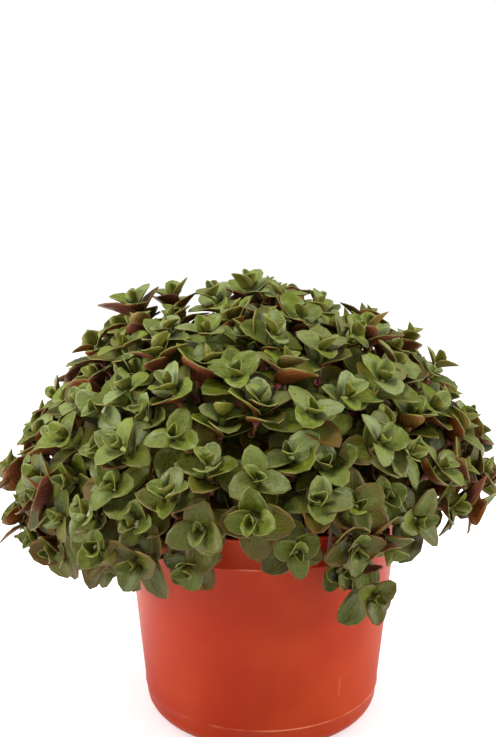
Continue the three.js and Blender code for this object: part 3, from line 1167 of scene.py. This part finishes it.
@dataclass
class Mound:
    """Where the shoots stand: the part's rule, and the side shoots between them."""

    centre_x: float = -0.005
    widest_z: float = 0.132
    radius: float = 0.122
    rise: float = 0.096
    fullness: float = 1.75
    drop: float = 0.020
    drop_left: float = 0.010
    drop_back: float = 0.008
    lowest_cosine: float = -0.24
    shoots: int = 65
    crowding: float = 0.2
    turn_upward: float = 0.24
    trailing_turn_upward: float = 0.12
    azimuth_jitter: float = 0.05
    steady_sine: float = 0.3
    tip_jitter: float = 0.004
    lean_jitter: float = 0.16
    fork_reach: float = 0.046
    seed: int = 20177
    trailing: tuple[Place, ...] = (
        (-58, 0.098, 0.092),
        (-135, 0.104, 0.106),
        (-112, 0.097, 0.112),
        (-158, 0.104, 0.101),
    )
    beside_trailing: Place = (-66, 0.092, 0.105)
    sprigs: tuple[Place, ...] = (
        (-0.070, 0.010, 0.224),
        (-0.049, 0.022, 0.226),
        (-0.089, -0.010, 0.203),
        (0.078, -0.004, 0.207),
        (0.090, -0.024, 0.196),
        (0.060, 0.012, 0.214),
        (0.112, -0.020, 0.158),
        (-0.134, -0.014, 0.136),
        (-0.130, -0.026, 0.114),
    )
    sprig_upright: float = 1.1
    side_spacing: float = 0.0172
    side_tries: int = 2400
    side_tip_jitter: float = 1.5
    side_upright: float = 0.2
    side_lean: float = 0.34
    bare_rim_x: Span = (-0.024, 0.034)
    bare_rim_z: float = 0.14

    def bares_rim(self, shoot: Shoot) -> bool:
        """Whether a shoot is low at the front, where the pot's rim shows."""
        low, high = self.bare_rim_x
        return low < shoot.tip[0] < high and shoot.tip[1] < 0 and shoot.tip[2] < self.bare_rim_z

    def sprig(self, x: float, y: float, z: float) -> Shoot:
        """A shoot that has outgrown the mound at a place."""
        axis = unit(unit(point(x, y, z - self.widest_z)) + point(0, 0, self.sprig_upright))
        return Shoot(point(x, y, z), axis, math.hypot(x, y) / self.radius, math.atan2(y, x))

    def trailing_shoot(self, degrees: float, radius: float, height: float) -> Shoot:
        """A shoot that hangs over the rim.

        Args:
            degrees: its azimuth.
            radius: its tip's distance from the pot's axis.
            height: its tip's height.

        Returns:
            The shoot.
        """
        azimuth = math.radians(degrees)
        tip = level(azimuth) * radius + point(0, 0, height)
        axis = unit(level(azimuth) + point(0, 0, self.trailing_turn_upward))
        return Shoot(tip, axis, 1.0, azimuth, trails=True)

    def shoot_at(self, share: float, azimuth: float, draws: Draws, jitter: float = 1.0) -> Shoot:
        """A shoot of the mound's surface.

        Args:
            share: how far down the mound, from 0 at its top to 1 at its skirt.
            azimuth: the turn round the pot's axis.
            draws: the random draws.
            jitter: how strong the tip's draw is.

        Returns:
            The shoot.
        """
        spread = share * (1 - self.crowding * (1 - share))
        cosine = 1 - (1 - self.lowest_cosine) * spread
        sine = math.sqrt(1 - cosine * cosine)
        azimuth += draws.about(self.azimuth_jitter) / max(sine, self.steady_sine)
        out = level(azimuth)
        skirt = self.drop - self.drop_left * out[0] + self.drop_back * out[1]
        height = self.rise if cosine > 0 else -skirt / self.lowest_cosine
        dome = (1 - sine**self.fullness) ** (1 / self.fullness)
        z = self.widest_z + height * (dome if cosine > 0 else cosine)
        tip = point(self.centre_x, 0, z) + out * self.radius * sine
        axis = unit(point(0, 0, cosine * self.radius / height) + out * sine)
        axis[2] += self.turn_upward
        axis[0] += draws.about(self.lean_jitter)
        axis[1] += draws.about(self.lean_jitter)
        axis = unit(axis)
        tip = tip + axis * draws.about(self.tip_jitter) * jitter
        return Shoot(tip, axis, spread, azimuth)

    def part_shoots(self, draws: Draws) -> list[Shoot]:
        """The shoots that the part has, in its order.

        Args:
            draws: the part's own draws.

        Returns:
            The trailing shoots and then those of the mound.
        """
        shares = [(index + 0.5) / self.shoots for index in range(self.shoots)]
        mound = [self.shoot_at(share, i * GOLDEN_ANGLE, draws) for i, share in enumerate(shares)]
        return [self.trailing_shoot(*place) for place in self.trailing] + mound

    def pairs(self, shoots: list[Shoot]) -> list[list[Shoot]]:
        """Joins each shoot to its nearest free neighbour, as the part does.

        Args:
            shoots: all the part's shoots.

        Returns:
            One or two shoots for each leafy stem.
        """
        free = list(shoots)
        stems = []
        while free:
            stem = [free.pop(0)]
            gaps = [apart(other.tip, stem[0].tip) for other in free]
            nearest = min(gaps, default=self.fork_reach)
            if nearest < self.fork_reach:
                stem.append(free.pop(gaps.index(nearest)))
            stems.append(stem)
        return stems

    def side_shoots(self, standing: list[Shoot]) -> list[Shoot]:
        """Fills the mound between the part's shoots.

        Args:
            standing: the part's shoots.

        Returns:
            The shoot beside the longest trailing one, the sprigs, and those that found room.
        """
        found = [self.trailing_shoot(*self.beside_trailing)]
        found += [self.sprig(*place) for place in self.sprigs]
        tips = [shoot.tip for shoot in standing + found]
        draws = Draws(self.seed + 1)
        for _ in range(self.side_tries):
            share = draws.between(0.0, 1.0)
            azimuth = draws.between(0.0, FULL_TURN)
            shoot = self.shoot_at(share, azimuth, draws, self.side_tip_jitter)
            lean = point(*[draws.about(self.side_lean) for _ in range(3)])
            shoot.axis = unit(shoot.axis + lean + point(0, 0, self.side_upright * (1 - share)))
            gaps = np.linalg.norm(np.array(tips) - shoot.tip, axis=1)
            if gaps.min() > self.side_spacing and not self.bares_rim(shoot):
                tips.append(shoot.tip)
                found.append(shoot)
        return found


@dataclass
class Fitting:
    """Lifts and shortens leaves until they keep to their own shoot's room."""

    pot: NurseryPot
    reach: float = 0.070
    half_gap: float = 0.00025
    elevation_step: float = 5.0
    steepest: float = 55.0
    shorter: float = 0.86
    shortest: float = 0.45
    pot_clearance: float = 0.0025

    def walls_around(self, shoot: Shoot, shoots: list[Shoot], gap: float) -> Walls:
        """The planes halfway to the shoots around.

        Args:
            shoot: the shoot whose room it is.
            shoots: all shoots.
            gap: how far each plane is drawn back, or past the middle where it is negative.

        Returns:
            The normal and the offset of each plane.
        """
        walls = []
        for other in shoots:
            distance = apart(other.tip, shoot.tip)
            if other is not shoot and distance <= self.reach:
                normal = (other.tip - shoot.tip) / distance
                middle = (other.tip + shoot.tip) * 0.5
                walls.append((normal, float(middle @ normal) - gap))
        return walls

    def walls_beside(self, shoot: Shoot, turn: float, sides: int) -> Walls:
        """The planes through the shoot's axis that keep a leaf apart from its fellows."""
        normals = [shoot.outward(turn + sense * (math.pi / sides + RIGHT_ANGLE)) for sense in (-1, 1)]
        return [(normal, float(shoot.tip @ normal) - self.half_gap) for normal in normals]

    def has_room(self, leaf: Leaf, walls: Walls) -> bool:
        """Says whether a leaf keeps behind its walls and clear of the pot.

        Args:
            leaf: the leaf.
            walls: the planes that bound its room.

        Returns:
            Whether it does.
        """
        points = leaf.edge_points()
        if any((points @ normal > offset).any() for normal, offset in walls):
            return False
        low = points[:, 2] < self.pot.height + self.pot_clearance
        close = np.hypot(points[:, 0], points[:, 1]) < self.pot.top_radius + self.pot_clearance
        return not (low & close).any()

    def fit(self, leaf: Leaf, walls: Walls) -> Leaf:
        """Lifts a leaf, and shortens it where that isn't enough, until it has room.

        Args:
            leaf: the leaf as it would like to lie.
            walls: the planes that bound its room.

        Returns:
            The same leaf, fitted.
        """
        shortest = self.shortest * leaf.length
        lowest = leaf.elevation
        while not self.has_room(leaf, walls) and leaf.length > shortest:
            leaf.elevation += self.elevation_step
            if leaf.elevation > self.steepest:
                leaf.elevation = lowest
                leaf.length *= self.shorter
        return leaf


@dataclass
class StemLine:
    """The line that a stem follows, as points in metres."""

    points: Array
    radius: float
    tip_radius: float = 0.0008

    def lengths(self) -> Array:
        """The way from the start to each point."""
        steps = np.linalg.norm(np.diff(self.points, axis=0), axis=1)
        return np.concatenate([[0.0], np.cumsum(steps)])

    def at(self, back: float) -> tuple[Array, Array]:
        """A point of the line and its direction there.

        Args:
            back: the way back from the line's end.

        Returns:
            The point and the direction.
        """
        lengths = self.lengths()
        total = float(lengths[-1])
        way = min(max(total - back, 0.0), total - HAIR)
        index = int(np.searchsorted(lengths, way, side="right")) - 1
        step = self.points[index + 1] - self.points[index]
        share = (way - lengths[index]) / float(np.linalg.norm(step))
        return self.points[index] + step * share, unit(step)

    def model(self, skin: Material, ripening: float) -> Piece:
        """Models the stem as a bevelled curve turned into a mesh.

        Args:
            skin: its finish.
            ripening: how far from its tip it is fully grown.

        Returns:
            The stem's object.
        """
        take_hold()
        bpy.ops.curve.primitive_nurbs_path_add(location=(0, 0, 0))
        path = bpy.context.object.data
        path.splines.clear()
        spline = path.splines.new("POLY")
        spline.points.add(len(self.points) - 1)
        lengths = self.lengths()
        for index, place in enumerate(self.points):
            share = float(lengths[index] / lengths[-1])
            spline.points[index].co = (*place.tolist(), 1.0)
            spline.points[index].radius = 1 - share * (1 - self.tip_radius / self.radius)
        path.bevel_depth = self.radius
        path.bevel_resolution = 1
        path.use_fill_caps = True
        bpy.ops.object.convert(target="MESH")
        stem = bpy.context.object
        mode("EDIT")
        bpy.ops.mesh.select_all(action="SELECT")
        bpy.ops.mesh.remove_doubles(threshold=HAIR)
        bpy.ops.mesh.normals_make_consistent(inside=False)
        mode("OBJECT")
        stem.data.materials.clear()
        stem.data.materials.append(skin)
        bpy.ops.object.shade_smooth()
        places = np.empty(3 * len(stem.data.vertices), np.float32)
        stem.data.vertices.foreach_get("co", places)
        ways = np.linalg.norm(places.reshape(-1, 3) - self.points[-1], axis=1)
        grown = np.minimum(ways / ripening, 1).astype(np.float32)
        stem.data.attributes.new(AGE, "FLOAT", "POINT").data.foreach_set("value", grown)
        return stem


@dataclass
class Vine:
    """The whole plant: a piece for each leafy stem of the part, and one for its side shoots."""

    models: LeafModels
    mound: Mound
    fitting: Fitting
    stem_radius: float = 0.0013
    branch_radius: float = 0.0011
    foot_height: float = 0.098
    main_samples: int = 16
    fork_samples: int = 12
    side_samples: int = 10
    stem_room: float = 0.058
    stem_crown: float = 0.166
    foot_spreading: float = 0.55
    tip_straight: float = 0.012
    neck_share: float = 0.5
    neck_depths: Place = (0.01096, 0.0078, 0.0056)
    trail_arch: float = 0.136
    trail_arch_rise: float = 0.045
    trail_arch_outward: float = 1.06
    fork_share: float = 0.5
    fork_reach_share: float = 0.3
    side_root: float = 0.045
    side_root_share: float = 0.5
    ripening: float = 0.045
    sheath_side: Place = (0.3, 0.2, 0.93)
    collar_drop: float = 0.0014
    collar_ageing: float = 30.0
    core_sides: int = 3
    leaf_sizes: Span = (0.94, 1.06)
    shoot_sizes: Span = (0.92, 1.08)
    leaf_lifts: Span = (-4.0, 8.0)
    leaf_ages: Span = (0.6, 1.5)
    leaf_roll: float = 0.3
    leaf_stretch: Span = (-0.12, 0.14)
    tip_age: float = 0.05
    tip_out: float = 0.0006
    pair_turn: float = 0.15
    side_start: float = 0.35
    side_turn: float = 0.2
    side_out: float = 0.0011
    side_sizes: Span = (0.88, 1.12)
    side_growth: Span = (0.78, 0.36)
    side_ageing: Span = (0.55, 0.9)
    side_lifts: Span = (-16.0, 24.0)
    side_opening: float = 12.0
    side_weight: float = 20.0
    side_overlap: float = 0.0035
    older_depths: tuple[float, ...] = (0.018, 0.026, 0.035)
    older_overlap: float = 0.004
    older_side_depths: tuple[float, ...] = (0.020, 0.029)
    older_side_overlap: float = 0.008
    older_out: float = 0.0012
    older_turn: float = 0.3
    older_lengths: Span = (0.0145, 0.0185)
    older_lifts: Span = (-6.0, 14.0)
    older_weight: float = 12.0
    older_age: float = 0.62
    older_ageing: float = 5.0
    older_collar_age: float = 0.6
    strictness: float = 0.5
    orderly: float = 0.75
    unruliness: float = 2.2
    shade: float = 0.8
    hanging: float = 0.86
    stunted: float = 0.62
    lowest_end: float = 0.108
    draws: Draws = field(init=False)
    own: Draws = field(init=False)
    shoots: list[Shoot] = field(init=False)

    def __post_init__(self) -> None:
        """Starts the part's draws and the looks' own draws, and finds the part's shoots."""
        self.draws = Draws(self.mound.seed)
        self.own = Draws(self.mound.seed + 2)
        self.shoots = self.mound.part_shoots(self.draws)

    def build(self) -> None:
        """Makes every piece of the plant."""
        sides = self.mound.side_shoots(self.shoots)
        stems = self.mound.pairs(self.shoots)
        log.info("%d leafy stems, %d side shoots", len(stems), len(sides))
        lines = [self.leafy_stem(number, pair) for number, pair in enumerate(stems, start=1)]
        # the part's own leaves ignore the side shoots, and everything after them doesn't
        self.shoots = self.shoots + sides
        near: list[list[Shoot]] = [[] for _ in stems]
        for shoot in sides:
            gaps = [min(apart(one.tip, shoot.tip) for one in pair) for pair in stems]
            near[gaps.index(min(gaps))].append(shoot)
        for number, group in enumerate(near, start=1):
            if group:
                self.side_piece(number, group, lines[number - 1])

    def arch(self, start: Array, rising: Array, shoot: Shoot, samples: int) -> Array:
        """The points of a stem from its start, by way of a height, into the shoot.

        Args:
            start: where the stem starts.
            rising: what it aims for as it leaves.
            shoot: the shoot that it ends in.
            samples: how many steps the arch has.

        Returns:
            The points.
        """
        ends = [shoot.below(depth) for depth in self.neck_depths]
        neck = ends[0] - shoot.axis * self.neck_share * self.tip_straight
        bend = neck - shoot.axis * self.tip_straight
        if shoot.trails:
            bend = neck * self.trail_arch_outward
            bend[2] = max(neck[2] + self.trail_arch_rise, self.trail_arch)
        points = []
        for step in range(samples + 1):
            t = step / samples
            s = 1 - t
            points.append(s**3 * start + 3 * s * s * t * rising + 3 * s * t * t * bend + t**3 * neck)
        return np.array(points + ends)

    def branch(self, line: StemLine, back: float, shoot: Shoot, samples: int) -> StemLine:
        """A branch from a stem into a shoot.

        Args:
            line: the stem that it leaves.
            back: how far from that stem's end it leaves.
            shoot: the shoot that it ends in.
            samples: how many steps its arch has.

        Returns:
            The branch's line.
        """
        fork, direction = line.at(back)
        rising = fork + direction * (self.fork_reach_share * apart(shoot.tip, fork))
        return StemLine(self.arch(fork, rising, shoot, samples), self.branch_radius)

    def part_leaves(self, shoot: Shoot, turn: float, size: float) -> list[Leaf]:
        """All leaves that the part has on one shoot, fitted as the part fits them.

        Args:
            shoot: the shoot.
            turn: the turn of the first corner of its core.
            size: the shoot's own size.

        Returns:
            The leaves of its two whorls.
        """
        around = self.fitting.walls_around(shoot, self.shoots, self.fitting.half_gap)
        leaves = []
        for order, whorl in enumerate((OLD_WHORL, YOUNG_WHORL)):
            start = turn + order * math.pi / self.core_sides
            for side in range(self.core_sides):
                way = start + FULL_TURN * (side + 0.5) / self.core_sides
                length = whorl.length * size * self.draws.between(*self.leaf_sizes)
                lift = whorl.elevation + self.draws.between(*self.leaf_lifts)
                leaf = Leaf(shoot, way, whorl.depth, whorl.out, length, lift, whorl.age, edge=whorl.edge)
                beside = self.fitting.walls_beside(shoot, way, self.core_sides)
                leaves.append(self.fitting.fit(leaf, around + beside))
        return leaves

    def lay(self, leaf: Leaf, freedom: float = 1.0) -> Piece:
        """Models one leaf in its place.

        Args:
            leaf: the leaf.
            freedom: how much it may roll and differ in width.

        Returns:
            The leaf's object.
        """
        age = leaf.age * self.own.between(*self.leaf_ages)
        if leaf.shoot.trails or self.mound.bares_rim(leaf.shoot):
            leaf.length *= self.hanging
        # painted shade: leaves far down the mound's skirt are made older, and so darker, for the shade that
        # falls there
        if not leaf.shoot.trails:
            age *= 1 + self.shade * leaf.shoot.spread**3
        leaf.roll = self.own.about(self.leaf_roll) * freedom
        leaf.stretch = 1 + self.own.between(*self.leaf_stretch) * freedom
        if leaf.form is LeafForm.OPEN:
            choice = (LeafForm.OPEN, LeafForm.ROUND, LeafForm.LONG)[int(self.own.between(0, 3))]
            leaf.form = LeafForm.ROUND if leaf.shoot.trails else choice
        place = leaf.matrix(self.models.length)
        return self.models.copy(leaf.form, place, min(age, 1.0), self.own.between(0, 1))

    def tip_leaves(self, shoot: Shoot, turn: float) -> list[Piece]:
        """The folded leaf and the clasping one at the very tip of a shoot.

        Args:
            shoot: the shoot.
            turn: the turn of the folded leaf.

        Returns:
            The leaves' objects.
        """
        sizes = [(self.own.between(*tip.lengths), self.own.between(*tip.lifts)) for tip in TIP_LEAVES]
        pieces = []
        for tip, (length, lift) in zip(TIP_LEAVES, sizes):
            way = turn + tip.turn + self.own.about(self.pair_turn)
            leaf = Leaf(shoot, way, tip.depth, self.tip_out, length, lift, self.tip_age, tip.form)
            pieces.append(self.lay(leaf))
        return pieces

    def collar_at(self, place: Array, axis: Array, age: float) -> Piece:
        """A leaf sheath round a stem.

        Args:
            place: its middle.
            axis: the stem's direction there.
            age: its age.

        Returns:
            The sheath's object.
        """
        across = unit(np.cross(axis, self.sheath_side))
        matrix = placing(across, np.cross(axis, across), axis, place)
        return self.models.copy(LeafForm.COLLAR, matrix, age, self.own.between(0, 1))

    def collar_under(self, shoot: Shoot, depth: float) -> Piece:
        """The sheath under the leaves that sit at a depth of a shoot."""
        return self.collar_at(shoot.below(depth + self.collar_drop), shoot.axis, self.collar_ageing * depth)

    def older_pairs(
        self, shoot: Shoot, line: StemLine, depths: tuple[float, ...], overlap: float
    ) -> list[Piece]:
        """Pairs of old leaves farther down a stem.

        Args:
            shoot: the shoot that the stem ends in.
            line: the stem's line.
            depths: how far under the tip each pair sits.
            overlap: how far they may reach past the middle to the next shoot.

        Returns:
            The leaves' and sheaths' objects.
        """
        walls = self.fitting.walls_around(shoot, self.shoots, -overlap)
        pieces = []
        turn = self.own.between(0, FULL_TURN)
        for depth in depths:
            place, direction = line.at(depth)
            joint = Shoot(place, direction, shoot.spread, shoot.azimuth)
            age = self.older_age + self.older_ageing * depth
            grown = []
            for side in (0, 1):
                way = turn + math.pi * side + self.own.about(self.older_turn)
                length = self.own.between(*self.older_lengths)
                lift = self.own.between(*self.older_lifts)
                lift += self.older_weight * float(joint.outward(way)[2])
                leaf = Leaf(joint, way, 0.0, self.older_out, length, lift, age)
                freedom = 1.0 if self.own.between(0, 1) < self.orderly else self.unruliness
                self.fitting.fit(leaf, walls)
                end = leaf.base + leaf.directions()[1] * leaf.length
                hidden = leaf.length < self.stunted * length
                if not hidden and (shoot.trails or end[2] > self.lowest_end):
                    grown.append(self.lay(leaf, freedom))
            if grown:
                pieces += [*grown, self.collar_at(place, direction, self.older_collar_age)]
            turn += RIGHT_ANGLE + self.own.about(self.older_turn)
        return pieces

    def leafy_stem(self, number: int, pair: list[Shoot]) -> StemLine:
        """Makes the piece that stands for one leafy stem of the part.

        Args:
            number: the stem's number.
            pair: its one or two shoots.

        Returns:
            The stem's main line.
        """
        leader = pair[0]
        foot = level(leader.azimuth) * (self.stem_room * leader.spread**self.foot_spreading)
        foot[2] = self.foot_height
        rising = foot.copy()
        rising[2] = self.stem_crown
        main = StemLine(self.arch(foot, rising, leader, self.main_samples), self.stem_radius)
        lines = [main]
        back = self.fork_share * float(main.lengths()[-1])
        lines += [self.branch(main, back, shoot, self.fork_samples) for shoot in pair[1:]]
        pieces = [line.model(self.models.skin, self.ripening) for line in lines]
        for shoot, line in zip(pair, lines):
            size = self.draws.between(*self.shoot_sizes)
            turn = self.draws.between(0, FULL_TURN)
            pieces += [self.lay(leaf, self.strictness) for leaf in self.part_leaves(shoot, turn, size)]
            pieces += self.tip_leaves(shoot, turn)
            pieces += [self.collar_under(shoot, whorl.depth) for whorl in (OLD_WHORL, YOUNG_WHORL)]
            pieces += self.older_pairs(shoot, line, self.older_depths, self.older_overlap)
        settle(join(pieces, f"vine_{number:02d}"), "foliage", f"leafy_stem_{number:02d}")
        return main

    def side_leaves(self, shoot: Shoot) -> list[Piece]:
        """The leaves of a side shoot: pairs that turn by a right angle and open as they age.

        Args:
            shoot: the side shoot.

        Returns:
            The leaves' and sheaths' objects.
        """
        turn = RIGHT_ANGLE * int(self.own.between(0, 4)) + self.own.about(self.side_start)
        vigour = self.own.between(0, 1)
        size = self.side_growth[0] + self.side_growth[1] * vigour
        ageing = self.side_ageing[0] + self.side_ageing[1] * vigour
        pieces = self.tip_leaves(shoot, turn)
        walls = self.fitting.walls_around(shoot, self.shoots, -self.side_overlap)
        for pair in SIDE_PAIRS:
            turn += RIGHT_ANGLE + self.own.about(self.side_turn)
            pieces.append(self.collar_under(shoot, pair.depth))
            for side in (0, 1):
                way = turn + math.pi * side + self.own.about(self.pair_turn)
                length = pair.length * size * self.own.between(*self.side_sizes)
                lift = pair.lift + self.own.between(*self.side_lifts) - self.side_opening * vigour
                lift += self.side_weight * float(shoot.outward(way)[2])
                age = pair.age * ageing
                leaf = Leaf(shoot, way, pair.depth, self.side_out, length, lift, age, pair.form)
                pieces.append(self.lay(self.fitting.fit(leaf, walls)))
        return pieces

    def side_piece(self, number: int, sides: list[Shoot], main: StemLine) -> None:
        """Makes the side shoots of one leafy stem.

        Args:
            number: the stem's number.
            sides: its side shoots.
            main: the stem's main line.
        """
        pieces = []
        for shoot in sides:
            back = self.side_root + self.side_root_share * apart(main.points[-1], shoot.tip)
            line = self.branch(main, back, shoot, self.side_samples)
            pieces.append(line.model(self.models.skin, self.ripening))
            pieces += self.side_leaves(shoot)
            pieces += self.older_pairs(shoot, line, self.older_side_depths, self.older_side_overlap)
        settle(join(pieces, f"side_shoots_{number:02d}"), "foliage")


@dataclass(frozen=True)
class Lamp:
    """A soft square lamp: its size is its side in metres and its power is in watts."""

    name: str
    place: Place
    aim: Place
    size: float
    power: float = 15.0

    def hang(self) -> None:
        """Hangs the lamp at its place and turns it to its aim."""
        light = bpy.data.lights.new(self.name, "AREA")
        lamp = linked(self.name, configure(light, shape="SQUARE", size=self.size, energy=self.power))
        turn = (Vector(self.aim) - Vector(self.place)).to_track_quat("-Z", "Y").to_euler()
        configure(lamp, location=self.place, rotation_euler=turn)


@dataclass
class Studio:
    """The floor, the light and the camera at the photograph's viewing angle."""

    floor_finish: Material
    distance: float = 0.500
    camera_height: float = 0.273
    pitch: float = 9.8
    focal_pixels: float = 947.0
    axis_pixel: float = 262.2
    sensor: float = 36.0
    floor_size: float = 12.0
    floor_gap: float = 0.0002
    nearest_seen: float = 0.01
    lamps: tuple[Lamp, ...] = (
        Lamp("top_light", (-0.25, -0.2, 1.15), (0, 0, 0.15), 0.3),
        Lamp("left_light", (-1.0, -0.2, 0.4), (0, 0, 0.1), 0.35),
        Lamp("right_light", (1.0, -0.2, 0.4), (0, 0, 0.1), 0.35),
    )

    def floor(self) -> None:
        """Lays the plain floor."""
        take_hold()
        bpy.ops.mesh.primitive_plane_add(size=self.floor_size, location=(0, 0, -self.floor_gap))
        floor = bpy.context.object
        bpy.ops.object.transform_apply(location=True, rotation=True, scale=True)
        floor.name = floor.data.name = "floor"
        floor.data.materials.append(self.floor_finish)

    def camera(self) -> None:
        """Sets the camera up, level with the photograph's sides."""
        lens = bpy.data.cameras.new("photo_camera")
        camera = linked("photo_camera", lens)
        lens.sensor_fit = "VERTICAL"
        lens.sensor_height = self.sensor
        lens.lens = self.sensor * self.focal_pixels / IMAGE_HEIGHT
        lens.clip_start = self.nearest_seen
        aside = (self.axis_pixel - IMAGE_WIDTH / 2) / self.focal_pixels * self.distance
        camera.location = (-aside, -self.distance, self.camera_height)
        camera.rotation_euler = (math.radians(90 - self.pitch), 0, 0)
        bpy.context.scene.camera = camera

    def build(self) -> None:
        """Makes the whole studio."""
        scene = bpy.context.scene
        scene.view_settings.view_transform = "Standard"
        scene.world = bpy.data.worlds.new("white_surround")
        scene.world.use_nodes = True
        background = scene.world.node_tree.nodes["Background"].inputs
        background["Color"].default_value = (1.0, 1.0, 1.0, 1.0)
        background["Strength"].default_value = 1.0
        self.floor()
        self.camera()
        for lamp in self.lamps:
            lamp.hang()
        log.info("studio is ready")


def write_sizes() -> None:
    """Brings the scene's objects up to date."""
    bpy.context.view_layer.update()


def main() -> None:
    """Builds the pot, the soil, the vine and the studio, in this order."""
    logging.basicConfig(level=logging.INFO, format="%(message)s")
    pot = NurseryPot(PotPlastic().build())
    pot.build()
    PottingSoil(DampSoil().build(), pot).build()
    models = LeafModels(LeafFace().build(), LeafBack().build(), StemSkin().build())
    models.build()
    Vine(models, Mound(), Fitting(pot)).build()
    Studio(PlainFloor().build()).build()
    write_sizes()


if __name__ == "__main__":
    main()
